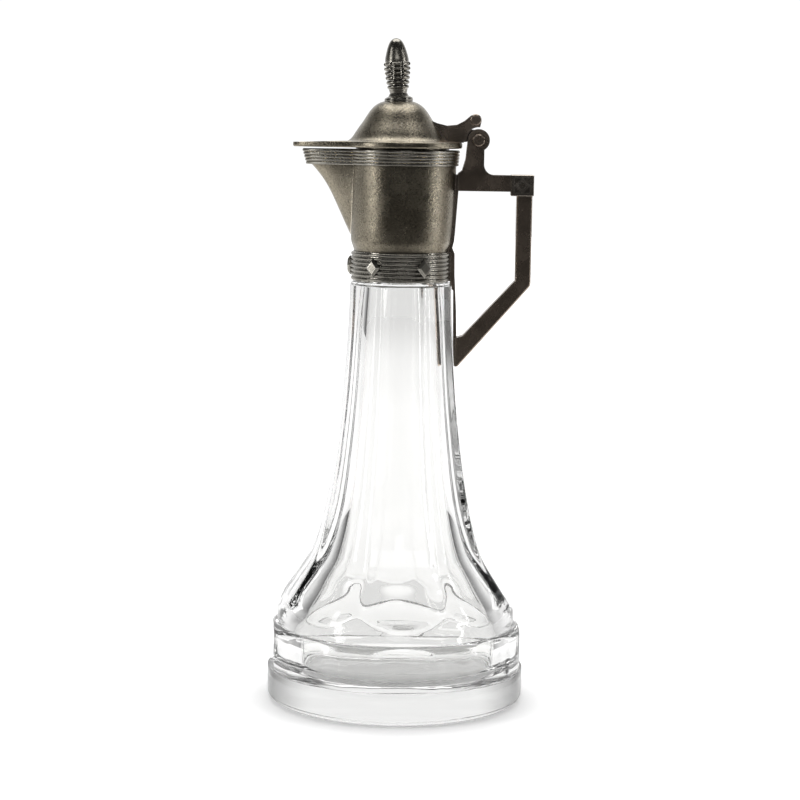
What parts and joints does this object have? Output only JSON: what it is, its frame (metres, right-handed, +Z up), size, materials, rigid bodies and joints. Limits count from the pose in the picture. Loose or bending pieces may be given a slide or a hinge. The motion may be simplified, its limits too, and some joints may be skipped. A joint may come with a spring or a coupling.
{
  "type": "table oil bottle",
  "caption": "Panelled clear glass oil bottle on a wide round foot, with a metal collar, pouring spout, hinged domed lid with finial and an angular handle.",
  "frame": {"origin": "centre of the foot's flat resting face", "axes": "+Z up along the bottle's axis; the spout points along -X and the handle stands on the +X side"},
  "size_m": [0.0804, 0.08, 0.2048],
  "materials": {
    "clear_glass": "polished clear pressed glass",
    "plaster": "matt set plaster",
    "plated_wall": "aged silver plate, finely pitted and tarnished",
    "plated_relief": "aged silver plate, dark in the grooves and worn bright on the edges",
    "handle_metal": "brown-grey tarnished cast metal, worn bright on the edges",
    "fastener_brass": "dull brass"
  },
  "bodies": {
    "bottle": {"glass_body": "clear_glass", "cement_ring": "plaster", "collar_body": "plated_wall", "lower_reed_band": "plated_relief", "diamond_studs": "plated_relief", "spout": "plated_wall", "upper_reed_band": "plated_relief", "handle_strap": "handle_metal", "hinge_bracket": "handle_metal", "handle_grip": "handle_metal", "corner_block": "plated_relief", "hinge_pin": "handle_metal"},
    "lid": {"lid_brim": "plated_wall", "lid_dome": "plated_wall", "lid_bezel": "plated_wall", "lid_tab": "handle_metal", "finial": "plated_relief", "finial_screw": "fastener_brass", "finial_nut": "fastener_brass"}
  },
  "joints": [
    {"name": "lid_hinge", "type": "hinge", "parent": "bottle", "child": "lid", "pos_m": [0.0232, 0, 0.1742], "axis": [0, 1, 0], "range_deg": [0, 105]}
  ]
}
